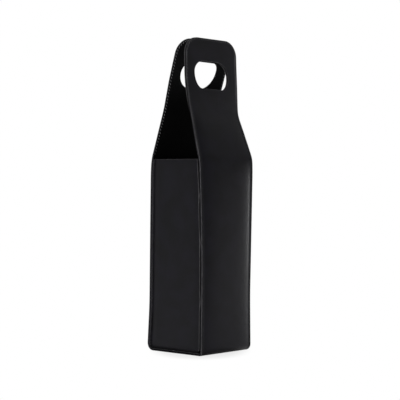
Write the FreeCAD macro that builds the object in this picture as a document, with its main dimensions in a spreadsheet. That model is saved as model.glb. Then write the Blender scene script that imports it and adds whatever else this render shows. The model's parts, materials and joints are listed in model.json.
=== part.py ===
"""Single-bottle carrier of leatherette, as a parametric FreeCAD document in millimetres.

One laminated strip, skin over board over lining, runs down the front, under the base and up the back.
Two gussets close the sides; their edges turn outwards and are sewn to the edges of the strip. Above
the shoulder folds the strip goes on as two flaps that lean together, each with a cut-out grip.

+Z is up, +X runs across the strip, the front faces -Y and the origin is the middle of the base.
"""
import FreeCAD, Part
import math
import os
import Sketcher

SIZES = {
    # The strip and the box that it makes
    "strip_width": 90.0,
    "body_depth": 90.0,
    "fold_height": 241.0,
    "base_radius": 7.0,
    # Layers of the laminate
    "skin": 1.0,
    "wall_board": 0.8,
    "base_board": 2.0,
    "lining": 0.6,
    # Gussets: the sewn edge, its fold, the stiffener, its clearance, and the top's drop below the fold
    "seam_width": 3.5,
    "seam_fold_radius": 0.8,
    "gusset_board": 0.8,
    "board_gap": 0.2,
    "gusset_drop": 2.0,
    # Flaps: running gap at the fold, length over the surface, corners, and the bend between neck and tab
    "fold_gap": 0.3,
    "flap_length": 152.0,
    "tab_radius": 19.0,
    "front_neck": 61.5,
    "front_bend_angle": 20.0,
    "front_bend_radius": 20.0,
    "rear_neck": 58.0,
    "rear_bend_angle": 4.0,
    "rear_bend_radius": 60.0,
    # Lean of the flaps: the front top edge's distance before the middle, and the gap between the top edges
    "front_top_set": 17.7,
    "top_gap": 9.4,
    # Grip cut-outs
    "grip_width": 59.0,
    "grip_height": 34.5,
    "grip_drop": 28.5,
    "grip_top_radius": 14.0,
    "grip_bottom_radius": 20.0,
    "grip_side": 0.5,
    # Stitching: distance from the edge, start beyond a fold, and the thread's own size
    "stitch_inset": 1.9,
    "stitch_start": 4.0,
    "thread_width": 0.7,
    "thread_height": 0.35,
}

HALF_WIDTH = "Sizes.strip_width / 2"
HALF_DEPTH = "Sizes.body_depth / 2"
WALL = "(Sizes.skin + Sizes.wall_board + Sizes.lining)"
FLOOR = "(Sizes.skin + Sizes.base_board + Sizes.lining)"
KNUCKLE = f"({WALL} / 2)"
FOLD_Y = f"({HALF_DEPTH} - {KNUCKLE})"
GUSSET_TOP = "(Sizes.fold_height - Sizes.gusset_drop)"
TOP_SET = {"front": "Sizes.front_top_set", "rear": f"{WALL} + Sizes.top_gap - Sizes.front_top_set"}
GRIP_BOTTOM_RADIUS = (
    "min(Sizes.grip_bottom_radius; Sizes.grip_height - Sizes.grip_top_radius - Sizes.grip_side)"
)

doc = FreeCAD.newDocument("bottle_carrier")
sheet = doc.addObject("Spreadsheet::Sheet", "Sizes")
for row, (alias, number) in enumerate(SIZES.items(), start=1):
    sheet.set(f"A{row}", alias)
    sheet.set(f"B{row}", str(number))
    sheet.setAlias(f"B{row}", alias)
doc.recompute()

SAME_PLACE = 1e-4
sub_parts = []


def size_of(expression):
    """The number that an expression over the sheet gives now."""
    return float(sheet.evalExpression(expression))


# Sketching

def arc_between(start, end, radius, turn):
    """The short arc from start to end, turning left (1) or right (-1) on the way."""
    chord = end - start
    half = chord.Length / 2
    left = FreeCAD.Vector(-chord.y, chord.x, 0).normalize()
    rise = math.sqrt(max(radius ** 2 - half ** 2, 0.0))
    centre = (start + end) / 2 + left * (rise * turn)
    first, last = (start, end) if turn > 0 else (end, start)
    angles = [math.atan2(spot.y - centre.y, spot.x - centre.x) for spot in (first, last)]
    circle = Part.Circle(centre, FreeCAD.Vector(0, 0, 1), radius)
    return Part.ArcOfCircle(circle, angles[0], angles[1])


def bind(sketch, kind, places, expression):
    """Add one dimension to a sketch and tie it to the sheet."""
    index = sketch.addConstraint(Sketcher.Constraint(kind, *places, size_of(expression)))
    sketch.setExpression(f"Constraints[{index}]", expression)


def draw_outline(sketch, corners):
    """Add one closed outline.

    A corner is (x, y), with a straight run to the next corner, or (x, y, radius, turn), with an arc
    to it that turns left (1) or right (-1). x, y and radius are expressions over the sheet.
    """
    begin = sketch.GeometryCount
    spots = [FreeCAD.Vector(size_of(corner[0]), size_of(corner[1]), 0) for corner in corners]
    ends = []
    for index, corner in enumerate(corners):
        start, end = spots[index], spots[(index + 1) % len(spots)]
        if len(corner) == 2:
            sketch.addGeometry(Part.LineSegment(start, end))
            ends.append((1, 2))
        else:
            radius, turn = corner[2:]
            sketch.addGeometry(arc_between(start, end, size_of(radius), turn))
            ends.append((1, 2) if turn > 0 else (2, 1))
    for index, corner in enumerate(corners):
        run, next_index = begin + index, (index + 1) % len(corners)
        joint = (run, ends[index][1], begin + next_index, ends[next_index][0])
        sketch.addConstraint(Sketcher.Constraint("Coincident", *joint))
        bind(sketch, "DistanceX", (-1, 1, run, ends[index][0]), corner[0])
        bind(sketch, "DistanceY", (-1, 1, run, ends[index][0]), corner[1])
        if len(corner) > 2:
            bind(sketch, "Radius", (run,), corner[2])


def new_body(name):
    body = doc.addObject("PartDesign::Body", name)
    body.Label = name
    return body


def new_sketch(body, plane, name, offset=None):
    """An empty sketch on one of the body's own planes, moved off it by an expression if given."""
    sketch = body.newObject("Sketcher::SketchObject", f"{body.Name}_{name}")
    support = [feature for feature in body.Origin.OriginFeatures if feature.Role == plane]
    sketch.AttachmentSupport = (support[0], [""])
    sketch.MapMode = "FlatFace"
    if offset:
        sketch.setExpression("AttachmentOffset.Base.z", offset)
    return sketch


def add_feature(body, kind, name, sketch, length=None, side_type="One side", reverse=False):
    """A Pad or Pocket of a sketch; without a length it is a cut right through."""
    feature = body.newObject(f"PartDesign::{kind}", f"{body.Name}_{name}")
    feature.Profile = sketch
    feature.SideType = side_type
    feature.Reversed = reverse
    if length:
        feature.setExpression("Length", length)
    else:
        feature.Type = "ThroughAll"
    return feature


def pad_across(name, outline):
    """A body whose side profile is carried across the whole width of the strip."""
    body = new_body(name)
    sketch = new_sketch(body, "YZ_Plane", "profile")
    draw_outline(sketch, outline)
    add_feature(body, "Pad", "pad", sketch, "Sizes.strip_width", "Symmetric")
    return body


# The strip below the shoulder folds

def strip_outline(wall_outer, wall_inner, floor_outer, floor_inner, top):
    """U-shaped profile of a layer, given by the depth of its faces below the strip's outer face."""
    outer, inner = f"({HALF_DEPTH} - ({wall_outer}))", f"({HALF_DEPTH} - ({wall_inner}))"
    bend_outer = f"(Sizes.base_radius - ({wall_outer}))"
    bend_inner = f"(Sizes.base_radius - ({wall_inner}))"
    return [
        (f"-{outer}", top),
        (f"-{outer}", f"{floor_outer} + {bend_outer}", bend_outer, 1),
        (f"-{outer} + {bend_outer}", floor_outer),
        (f"{outer} - {bend_outer}", floor_outer, bend_outer, 1),
        (outer, f"{floor_outer} + {bend_outer}"),
        (outer, top),
        (inner, top),
        (inner, f"{floor_inner} + {bend_inner}", bend_inner, -1),
        (f"{inner} - {bend_inner}", floor_inner),
        (f"-{inner} + {bend_inner}", floor_inner, bend_inner, -1),
        (f"-{inner}", f"{floor_inner} + {bend_inner}"),
        (f"-{inner}", top),
    ]


def relief_outline(inward):
    """Cut in a top edge that lets its flap turn: round inside the fold line, level outside it."""
    def across(y):
        return f"{-inward} * ({y})"
    radius = f"({KNUCKLE} + Sizes.fold_gap)"
    low, high = f"Sizes.fold_height - {radius}", f"Sizes.fold_height + {radius}"
    inner, beyond = across(f"{FOLD_Y} - {radius}"), across(f"{HALF_DEPTH} + {radius}")
    return [(inner, "Sizes.fold_height", radius, -inward), (across(FOLD_Y), low), (beyond, low),
            (beyond, high), (inner, high)]


def relieve_folds(body):
    sketch = new_sketch(body, "YZ_Plane", "relief")
    for inward in (1, -1):
        draw_outline(sketch, relief_outline(inward))
    add_feature(body, "Pocket", "relief_cut", sketch, side_type="Symmetric")


def box_outline(y_low, y_high, z_low, z_high):
    return [(y_low, z_low), (y_high, z_low), (y_high, z_high), (y_low, z_high)]


def seam_face(side):
    """Plane of the stitch line's outer border, on the left (-1) or right (1) edge of the strip."""
    return f"{side} * ({HALF_WIDTH} - Sizes.stitch_inset + Sizes.thread_width / 2)"


def make_strip():
    skin = pad_across("outer_wrap", strip_outline("0", "Sizes.skin", "0", "Sizes.skin", "Sizes.fold_height"))
    relieve_folds(skin)
    seam_top = "Sizes.fold_height - Sizes.stitch_start"
    groove = strip_outline("-Sizes.thread_height", "Sizes.thread_height",
                           "-Sizes.thread_height", "Sizes.thread_height", seam_top)
    for side, name in ((-1, "left"), (1, "right")):
        sketch = new_sketch(skin, "YZ_Plane", f"{name}_groove", seam_face(side))
        draw_outline(sketch, groove)
        add_feature(skin, "Pocket", f"{name}_groove_cut", sketch, "Sizes.thread_width", reverse=side < 0)

    board_outer = f"{HALF_DEPTH} - Sizes.skin"
    board_inner = f"{HALF_DEPTH} - Sizes.skin - Sizes.wall_board"
    wall_span = ("Sizes.base_radius", "Sizes.fold_height")
    front = pad_across("front_board", box_outline(f"-({board_outer})", f"-({board_inner})", *wall_span))
    rear = pad_across("rear_board", box_outline(board_inner, board_outer, *wall_span))
    base_end = f"({HALF_DEPTH} - Sizes.base_radius)"
    base = pad_across("base_board", box_outline(f"-{base_end}", base_end, "Sizes.skin",
                                                "Sizes.skin + Sizes.base_board"))

    lining = pad_across("lining_wrap", strip_outline("Sizes.skin + Sizes.wall_board", WALL,
                                                     "Sizes.skin + Sizes.base_board", FLOOR,
                                                     "Sizes.fold_height"))
    for layer in (front, rear, lining):
        relieve_folds(layer)
    sub_parts.extend([skin, front, base, rear, lining])


# The gussets

def tray_outline(wall_depth, floor_depth, top):
    """Side view of a gusset layer: upright sides, rounded lower corners, level top."""
    half = f"({HALF_DEPTH} - ({wall_depth}))"
    bend = f"(Sizes.base_radius - ({wall_depth}))"
    return [
        (f"-{half}", top),
        (f"-{half}", f"{floor_depth} + {bend}", bend, 1),
        (f"-{half} + {bend}", floor_depth),
        (f"{half} - {bend}", floor_depth, bend, 1),
        (half, f"{floor_depth} + {bend}"),
        (half, top),
    ]


def fold_edges(feature, x, top):
    """Names of the edges that lie wholly in the plane at x, apart from the one along the top."""
    names = []
    for number, edge in enumerate(feature.Shape.Edges, start=1):
        box = edge.BoundBox
        in_plane = abs(box.XMin - x) < SAME_PLACE and abs(box.XMax - x) < SAME_PLACE
        if in_plane and box.ZMin < top - SAME_PLACE:
            names.append(f"Edge{number}")
    return names


def make_tray(name, side, wall_depth, floor_depth, thickness, plate_depth, fold_radius):
    """One gusset layer: a plate set in from the strip's edge, with its border turned outwards."""
    body = new_body(name)
    blank = new_sketch(body, "YZ_Plane", "blank", f"{side} * ({HALF_WIDTH} - {plate_depth} - {thickness})")
    draw_outline(blank, tray_outline(wall_depth, floor_depth, GUSSET_TOP))
    add_feature(body, "Pad", "blank_pad", blank, f"{plate_depth} + {thickness}", reverse=side < 0)
    hollow = new_sketch(body, "YZ_Plane", "hollow", f"{side} * {HALF_WIDTH}")
    open_top = f"{GUSSET_TOP} + {thickness}"
    inner_depths = [f"{depth} + {thickness}" for depth in (wall_depth, floor_depth)]
    draw_outline(hollow, tray_outline(*inner_depths, open_top))
    tray = add_feature(body, "Pocket", "hollow_cut", hollow, plate_depth, reverse=side < 0)
    doc.recompute()

    top = size_of(GUSSET_TOP)
    folds = (("inner_fold", f"{side} * ({HALF_WIDTH} - {plate_depth})", fold_radius),
             ("outer_fold", f"{side} * ({HALF_WIDTH} - {plate_depth} - {thickness})",
              f"{fold_radius} + {thickness}"))
    for label, plane, radius in folds:
        rounding = body.newObject("PartDesign::Fillet", f"{name}_{label}")
        rounding.Base = (tray, fold_edges(tray, size_of(plane), top))
        rounding.setExpression("Radius", radius)
        doc.recompute()
        tray = rounding
    return body


def make_gusset(name, side):
    skin = make_tray(f"{name}_gusset", side, f"{WALL} + Sizes.lining", f"{FLOOR} + Sizes.lining",
                     "Sizes.skin", "Sizes.seam_width", "Sizes.seam_fold_radius")
    turn = "(Sizes.seam_fold_radius + Sizes.skin)"
    lining_depth = "(Sizes.seam_width + Sizes.skin + Sizes.gusset_board)"
    lining = make_tray(f"{name}_gusset_lining", side, WALL, FLOOR, "Sizes.lining", lining_depth, turn)

    board = new_body(f"{name}_gusset_board")
    inset = f"Sizes.lining + {turn} + Sizes.board_gap"
    board_face = f"{side} * ({HALF_WIDTH} - Sizes.seam_width - Sizes.skin)"
    sketch = new_sketch(board, "YZ_Plane", "outline", board_face)
    draw_outline(sketch, tray_outline(f"{WALL} + {inset}", f"{FLOOR} + {inset}", GUSSET_TOP))
    add_feature(board, "Pad", "pad", sketch, "Sizes.gusset_board", reverse=side > 0)
    sub_parts.extend([skin, board, lining])


def make_seam_threads(name, side):
    """Needle thread in the strip's groove, and bobbin thread on the turned edge of the gusset."""
    edge_wall, edge_floor = f"{WALL} + Sizes.lining + Sizes.skin", f"{FLOOR} + Sizes.lining + Sizes.skin"
    lines = (
        (f"{name}_seam_thread", "0", "Sizes.thread_height", "0", "Sizes.thread_height",
         "Sizes.fold_height - Sizes.stitch_start"),
        (f"{name}_seam_bobbin_thread", edge_wall, f"{edge_wall} + Sizes.thread_height",
         edge_floor, f"{edge_floor} + Sizes.thread_height", f"{GUSSET_TOP} - Sizes.stitch_start"),
    )
    for label, *depths in lines:
        thread = new_body(label)
        sketch = new_sketch(thread, "YZ_Plane", "line", seam_face(side))
        draw_outline(sketch, strip_outline(*depths))
        add_feature(thread, "Pad", "pad", sketch, "Sizes.thread_width", reverse=side > 0)
        sub_parts.append(thread)


# The flaps, each drawn upright from its own fold line and then leaned in

class Flap:
    """Expressions of one flap's side profile: a leaning neck, a bend and a straight tab."""

    def __init__(self, end, inward):
        self.end, self.inward = end, inward
        self.neck, self.bend = f"Sizes.{end}_neck", f"Sizes.{end}_bend_radius"
        self.kink = f"Sizes.{end}_bend_angle"
        self.tab_y = f"({self.neck} * sin({self.kink}) + {self.bend} * (1 - cos({self.kink})))"
        self.tab_z = f"({self.neck} * cos({self.kink}) + {self.bend} * sin({self.kink}))"
        tab = f"(Sizes.flap_length - {self.neck} - {self.bend} * {self.kink} * pi / 180)"
        self.top = f"({self.tab_z} + {tab})"
        reach = f"sqrt({self.tab_y} ^ 2 + {self.top} ^ 2)"
        self.tab_lean = f"(asin(({FOLD_Y} - ({TOP_SET[end]})) / {reach}) - atan({self.tab_y} / {self.top}))"

    def neck_spot(self, along, depth):
        """A spot on the neck, along it from the fold and to the inside of its middle layer."""
        y = f"{self.inward} * (({along}) * sin({self.kink}) + ({depth}) * cos({self.kink}))"
        z = f"(({along}) * cos({self.kink}) - ({depth}) * sin({self.kink}))"
        return y, z

    def tab_spot(self, z, depth):
        return f"{self.inward} * ({self.tab_y} + ({depth}))", z

    def profile(self, outer, inner, start=None):
        """Profile of a layer between two depths; it ends round the fold, or square at start."""
        def foot(depth):
            return start or f"-sqrt(abs({KNUCKLE} ^ 2 - ({depth}) ^ 2))"
        round_foot = () if start else (KNUCKLE, -self.inward)
        return [
            self.neck_spot(foot(outer), outer),
            (*self.neck_spot(self.neck, outer), f"{self.bend} + ({outer})", self.inward),
            self.tab_spot(self.tab_z, outer),
            self.tab_spot(self.top, outer),
            self.tab_spot(self.top, inner),
            (*self.tab_spot(self.tab_z, inner), f"{self.bend} + ({inner})", -self.inward),
            self.neck_spot(self.neck, inner),
            (*self.neck_spot(foot(inner), inner), *round_foot),
        ]

    def lean(self, body):
        """Set a body on the fold line, with its tab at its angle."""
        body.Placement.Rotation = FreeCAD.Rotation(FreeCAD.Vector(1, 0, 0), 0)
        body.setExpression("Placement.Base.y", f"{-self.inward} * {FOLD_Y}")
        body.setExpression("Placement.Base.z", "Sizes.fold_height")
        body.setExpression("Placement.Rotation.Angle", f"{-self.inward} * {self.tab_lean}")


def corner_outline(flap, side):
    """What is cut away outside one rounded top corner of a tab."""
    inner, edge = f"{side} * ({HALF_WIDTH} - Sizes.tab_radius)", f"{side} * {HALF_WIDTH}"
    beyond = f"{side} * ({HALF_WIDTH} + Sizes.tab_radius)"
    above = f"{flap.top} + Sizes.tab_radius"
    below = f"{flap.top} - Sizes.tab_radius"
    return [(inner, flap.top, "Sizes.tab_radius", -side), (edge, below), (beyond, below),
            (beyond, above), (inner, above)]


def grip_outline(flap):
    half = "Sizes.grip_width / 2"
    high = f"({flap.top} - Sizes.grip_drop)"
    low = f"({high} - Sizes.grip_height)"
    upper, lower = "Sizes.grip_top_radius", GRIP_BOTTOM_RADIUS
    return [
        (f"-{half} + {lower}", low),
        (f"{half} - {lower}", low, lower, 1),
        (half, f"{low} + {lower}"),
        (half, f"{high} - {upper}", upper, 1),
        (f"{half} - {upper}", high),
        (f"-{half} + {upper}", high, upper, 1),
        (f"-{half}", f"{high} - {upper}"),
        (f"-{half}", f"{low} + {lower}", lower, 1),
    ]


def gate_outline(flap, inset):
    """The flap's outer edge, front view, drawn in by inset and open below the fold."""
    side = f"({HALF_WIDTH} - ({inset}))"
    straight = f"({HALF_WIDTH} - Sizes.tab_radius)"
    bend = f"Sizes.tab_radius - ({inset})"
    high, shoulder, low = f"{flap.top} - ({inset})", f"{flap.top} - Sizes.tab_radius", f"-{WALL}"
    return [(side, low), (side, shoulder, bend, 1), (straight, high), (f"-{straight}", high, bend, 1),
            (f"-{side}", shoulder), (f"-{side}", low)]


def flap_layer(flap, name, outer, inner):
    """One layer of a flap, with its rounded corners and its grip."""
    body = pad_across(name, flap.profile(outer, inner))
    sketch = new_sketch(body, "XZ_Plane", "cut_outs")
    for outline in (corner_outline(flap, -1), corner_outline(flap, 1), grip_outline(flap)):
        draw_outline(sketch, outline)
    add_feature(body, "Pocket", "cut_outs_cut", sketch, side_type="Symmetric")
    flap.lean(body)
    return body


def flap_thread(flap, name, outer, inner):
    """Stitch line round a flap, sunk in one of its faces: a band that follows the edge."""
    body = pad_across(name, flap.profile(outer, inner, "Sizes.stitch_start"))
    border = new_sketch(body, "XZ_Plane", "border")
    half, high = "Sizes.strip_width", f"{flap.top} + Sizes.tab_radius"
    draw_outline(border, box_outline(f"-{half}", half, f"-{WALL} * 2", high))
    draw_outline(border, gate_outline(flap, "Sizes.stitch_inset - Sizes.thread_width / 2"))
    add_feature(body, "Pocket", "border_cut", border, side_type="Symmetric")
    middle = new_sketch(body, "XZ_Plane", "middle")
    draw_outline(middle, gate_outline(flap, "Sizes.stitch_inset + Sizes.thread_width / 2"))
    add_feature(body, "Pocket", "middle_cut", middle, side_type="Symmetric")
    flap.lean(body)
    return body


def make_flap(flap):
    end = flap.end
    skin_back = f"-{KNUCKLE} + Sizes.skin"
    lining_back = f"{KNUCKLE} - Sizes.lining"
    board = flap_layer(flap, f"{end}_flap_board", skin_back, lining_back)
    sub_parts.append(board)
    faces = (
        (f"{end}_flap_skin", f"-{KNUCKLE}", skin_back,
         f"{end}_flap_thread", f"-{KNUCKLE}", f"-{KNUCKLE} + Sizes.thread_height"),
        (f"{end}_flap_lining", lining_back, KNUCKLE,
         f"{end}_flap_bobbin_thread", f"{KNUCKLE} - Sizes.thread_height", KNUCKLE),
    )
    for layer_name, outer, inner, thread_name, thread_outer, thread_inner in faces:
        blank = flap_layer(flap, f"{layer_name}_blank", outer, inner)
        thread = flap_thread(flap, thread_name, thread_outer, thread_inner)
        grooved = doc.addObject("Part::Cut", layer_name)
        grooved.Label = layer_name
        grooved.Base, grooved.Tool = blank, thread
        sub_parts.extend([grooved, thread])


make_strip()
for hand, hand_sign in (("left", -1), ("right", 1)):
    make_gusset(hand, hand_sign)
    make_seam_threads(hand, hand_sign)
make_flap(Flap("front", 1))
make_flap(Flap("rear", -1))
doc.recompute()

for thing in doc.Objects:
    if "Invalid" in thing.State or "Error" in thing.State:
        raise RuntimeError(f"{thing.Label} did not build: {thing.State}")
for piece in sub_parts:
    if piece.Shape.isNull() or not piece.Shape.isValid() or not piece.Shape.Solids:
        raise RuntimeError(f"{piece.Label} has no sound shape")

os.makedirs("parts", exist_ok=True)
for piece in sub_parts:
    piece.Shape.exportStep(os.path.join("parts", f"{piece.Label}.step"))
    print(f"{piece.Label}: {len(piece.Shape.Solids)} solid, {piece.Shape.Volume / 1000:.3f} cm3")
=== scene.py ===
import bpy
import json
import math
import numpy as np
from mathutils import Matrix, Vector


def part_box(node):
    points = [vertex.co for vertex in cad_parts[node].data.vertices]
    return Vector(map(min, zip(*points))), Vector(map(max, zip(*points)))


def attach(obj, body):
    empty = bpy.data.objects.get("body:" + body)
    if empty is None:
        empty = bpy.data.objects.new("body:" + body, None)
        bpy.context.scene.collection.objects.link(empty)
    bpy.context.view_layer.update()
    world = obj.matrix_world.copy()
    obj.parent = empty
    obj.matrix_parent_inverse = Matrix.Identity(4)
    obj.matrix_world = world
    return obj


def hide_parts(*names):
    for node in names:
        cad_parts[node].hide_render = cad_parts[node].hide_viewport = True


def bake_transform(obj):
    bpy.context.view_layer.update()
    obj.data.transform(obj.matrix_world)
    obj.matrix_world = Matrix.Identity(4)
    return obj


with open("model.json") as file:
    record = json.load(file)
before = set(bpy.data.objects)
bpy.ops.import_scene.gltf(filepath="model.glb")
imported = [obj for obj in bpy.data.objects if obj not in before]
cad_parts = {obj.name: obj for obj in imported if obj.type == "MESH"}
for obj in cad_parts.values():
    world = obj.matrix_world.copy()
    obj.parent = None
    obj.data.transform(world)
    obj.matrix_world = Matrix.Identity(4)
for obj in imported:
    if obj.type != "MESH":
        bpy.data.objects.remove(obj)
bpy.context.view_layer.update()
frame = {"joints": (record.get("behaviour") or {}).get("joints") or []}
mm = 0.001  # shapes are worked out in millimetres and put into the meshes in metres

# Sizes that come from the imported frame
foldAxes = {joint["name"]: np.array(joint["pos_m"]) / mm for joint in frame["joints"]}
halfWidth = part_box("outer_wrap")[1].x / mm
foldHeight = foldAxes["front_flap_fold"][2]
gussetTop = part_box("left_gusset")[1].z / mm
print("frame loaded, strip", round(2 * halfWidth, 2), "mm wide, folds at", round(foldHeight, 2), "mm")


# Shader nodes

class Value:
    # one socket of a node tree; + - * on it add Math nodes to that tree
    def __init__(self, finish, socket):
        self.finish = finish
        self.socket = socket

    def maths(self, operation, first, second=0.0):
        return self.finish.node("ShaderNodeMath", {"operation": operation}, {0: first, 1: second})

    def __add__(self, other):
        return self.maths("ADD", self, other)

    def __radd__(self, other):
        return self.maths("ADD", other, self)

    def __sub__(self, other):
        return self.maths("SUBTRACT", self, other)

    def __rsub__(self, other):
        return self.maths("SUBTRACT", other, self)

    def __mul__(self, other):
        return self.maths("MULTIPLY", self, other)

    def __rmul__(self, other):
        return self.maths("MULTIPLY", other, self)

    def sine(self):
        return self.maths("SINE", self)

    def between(self, low, high):
        # 0 below low, 1 above high, eased in between
        return self.finish.node("ShaderNodeMapRange", {"interpolation_type": "SMOOTHSTEP"},
                                {"Value": self, "From Min": low, "From Max": high})


class Finish:
    # the nodes of a material or world, and the one method that adds to them
    def __init__(self, owner):
        self.owner = owner
        owner.use_nodes = True
        self.tree = owner.node_tree
        self.tree.nodes.clear()

    def node(self, kind, settings, inputs, out=0):
        made = self.tree.nodes.new(kind)
        for name, value in settings.items():
            setattr(made, name, value)
        for name, value in inputs.items():
            if isinstance(value, Value):
                self.tree.links.new(value.socket, made.inputs[name])
            else:
                made.inputs[name].default_value = value
        return Value(self, made.outputs[out])

    def attribute(self, name, out):
        # what the mesh carries at its vertices under this name
        return self.node("ShaderNodeAttribute", {"attribute_name": name}, {}, out)

    def part(self, vector, axis):
        # x, y or z of a vector, for axis 0, 1 or 2
        return self.node("ShaderNodeSeparateXYZ", {}, {"Vector": vector}, axis)

    def noise(self, vector, scale, detail=2.0, roughness=0.5):
        # cloudy values around 0.5, about scale clouds in one unit of the vector
        return self.node("ShaderNodeTexNoise", {},
                         {"Vector": vector, "Scale": scale, "Detail": detail, "Roughness": roughness})

    def mix(self, factor, first, second):
        # colour that goes from first to second
        return self.node("ShaderNodeMix", {"data_type": "RGBA"}, {0: factor, 6: first, 7: second}, out=2)

    def done(self, shader, output="ShaderNodeOutputMaterial"):
        made = self.tree.nodes.new(output)
        self.tree.links.new(shader.socket, made.inputs["Surface"])
        return self.owner

    def surface(self, look, colour, rough, height):
        # the finished material, its normals tilted as if the surface rose by height, in metres
        bump = self.node("ShaderNodeBump", {},
                         {"Strength": look["bump"], "Distance": 1.0, "Height": height})
        return self.done(self.node("ShaderNodeBsdfPrincipled", {}, {
            "Base Color": colour, "Roughness": rough, "Normal": bump,
            "Specular IOR Level": look["specular"], "Specular Tint": look["tint"]}))


leatherLook = {
    "dark": (0.0040, 0.0040, 0.0043, 1), "light": (0.0058, 0.0055, 0.0076, 1),  # mottled black
    "mottle": 0.045, "mottleSpan": (0.30, 0.72),  # patches in a millimetre, and the noise that turns light
    "wornAndPaintedLight": (0.085, 0.083, 0.087, 1), "footShade": (0.0012, 0.0012, 0.0013, 1),  # cut edges: the first paler from wear and a painted highlight, the second painted shade near the foot
    "rub": 0.12, "rubSpan": (0.30, 0.70), "leastRub": 0.45,  # uneven wear and painted highlight along the paled edges
    "rough": 0.34, "roughMottle": 0.10, "roughFine": 0.10, "fine": 2.6,
    "rubbedPolish": 0.08, "footShadeRough": 0.95,
    "specular": 0.16, "tint": (0.89, 0.87, 1.0, 1),
    "pebble": 1.15, "scatter": 0.9, "pebbleSlope": 0.22,  # grain cells in a millimetre, and their slopes
    "crease": 0.16,  # soft creases in a millimetre
    "grain": 0.00003, "creases": 0.00010, "bump": 0.6,  # heights in metres, and how strongly they show
}


def leatherFinish(look):
    # Pebbled grain from the distance to the borders of small cells, broken by soft creases. The edge
    # attribute is 1 on a cut edge paled by wear and a painted highlight, and -1 on one darkened by painted
    # shade.
    paint = Finish(bpy.data.materials.new("black leatherette"))
    flat = paint.attribute("flat", "Vector")
    edge = paint.attribute("edge", "Fac")
    mottle = paint.noise(flat, look["mottle"], 3.0)
    rub = paint.noise(flat, look["rub"], 3.0, 0.6)
    fine = paint.noise(flat, look["fine"])
    crease = paint.noise(flat, look["crease"], 4.0, 0.55)
    cells = paint.node("ShaderNodeTexVoronoi", {"feature": "DISTANCE_TO_EDGE"},
                       {"Vector": flat, "Scale": look["pebble"], "Randomness": look["scatter"]})
    pebble = cells.between(0.0, look["pebbleSlope"])
    wearAndPaintedLight = edge.between(0.0, 1.0)
    footShade = edge.between(0.0, -1.0)
    # paler cut edges: partly wear, partly a painted highlight; the dark foot edges are painted shade
    wearAndHighlight = wearAndPaintedLight * (look["leastRub"] + (1 - look["leastRub"]) * rub.between(*look["rubSpan"]))
    colour = paint.mix(mottle.between(*look["mottleSpan"]), look["dark"], look["light"])
    colour = paint.mix(wearAndHighlight, colour, look["wornAndPaintedLight"])
    colour = paint.mix(footShade, colour, look["footShade"])
    rough = look["rough"] + look["roughMottle"] * (mottle - 0.5) + look["roughFine"] * (fine - 0.5)
    rough = rough - look["rubbedPolish"] * wearAndPaintedLight
    rough = rough + footShade * (look["footShadeRough"] - rough)
    return paint.surface(look, colour, rough, pebble * look["grain"] + crease * look["creases"])


liningLook = {
    "dark": (0.0004, 0.0004, 0.0004, 1), "light": (0.0016, 0.0016, 0.0017, 1),
    "wearAndPaintedLight": (0.0140, 0.0140, 0.0145, 1), "paintedLightFrom": (345.0, 405.0),  # painted light: paler towards the grips, from this far along the strip
    "cut": (0.110, 0.108, 0.112, 1),  # paler threads along the cut edges, also a painted highlight on the front flap's lining cuts
    "rough": 0.60, "roughFuzz": 0.08,
    "specular": 0.010, "tint": (1, 1, 1, 1),
    "rib": 0.9, "ribSlope": 1.6, "ribShade": 0.35,  # width of a twill rib in millimetres, slant and depth
    "yarns": 1.9, "yarnSlope": 1.7, "yarnShade": 0.15,  # crossing yarns for each rib, slant and depth
    "fuzz": 1.4, "fuzzShare": 0.3,  # specks in a millimetre, and their share of the colour
    "weave": 0.00005, "nap": 0.000025, "bump": 0.6,  # heights in metres, and how strongly they show
}


def liningFinish(look):
    # Twill: diagonal ribs, the sine of (across + slope times along), crossed by finer yarns, the sine of
    # (slope times across - along).
    paint = Finish(bpy.data.materials.new("black twill lining"))
    flat = paint.attribute("flat", "Vector")
    edge = paint.attribute("edge", "Fac")
    across = paint.part(flat, 0)
    along = paint.part(flat, 1)
    turn = 2 * math.pi / look["rib"]
    rib = ((across + along * look["ribSlope"]) * turn).sine()
    yarn = ((across * look["yarnSlope"] - along) * (look["yarns"] * turn)).sine()
    fuzz = paint.noise(flat, look["fuzz"], 3.0, 0.6)
    cloth = 0.5 + look["ribShade"] * rib + look["yarnShade"] * yarn
    shade = cloth * (1 - look["fuzzShare"]) + fuzz * look["fuzzShare"]
    colour = paint.mix(shade, look["dark"], look["light"])
    # painted light: the lining paler towards the grips
    colour = paint.mix(along.between(*look["paintedLightFrom"]) * cloth, colour, look["wearAndPaintedLight"])
    colour = paint.mix(edge * fuzz, colour, look["cut"])
    rough = look["rough"] + look["roughFuzz"] * (fuzz - 0.5)
    return paint.surface(look, colour, rough, cloth * look["weave"] + fuzz * look["nap"])


threadLook = {
    "needle": {"dark": (0.004, 0.004, 0.004, 1), "light": (0.016, 0.016, 0.017, 1)},  # seen from outside
    "bobbin": {"dark": (0.090, 0.088, 0.092, 1), "light": (0.160, 0.158, 0.162, 1)},  # seen on the lining
    "wearAndPaintedLight": (0.075, 0.074, 0.077, 1),  # painted highlight: the needle thread paler on the flaps
    "rough": 0.42, "specular": 0.2, "tint": (1, 1, 1, 1),
    "plies": 3.0,  # turns of the twisted plies along one stitch
    "twist": 0.00005, "bump": 0.5,  # height in metres, and how strongly it shows
}


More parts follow.
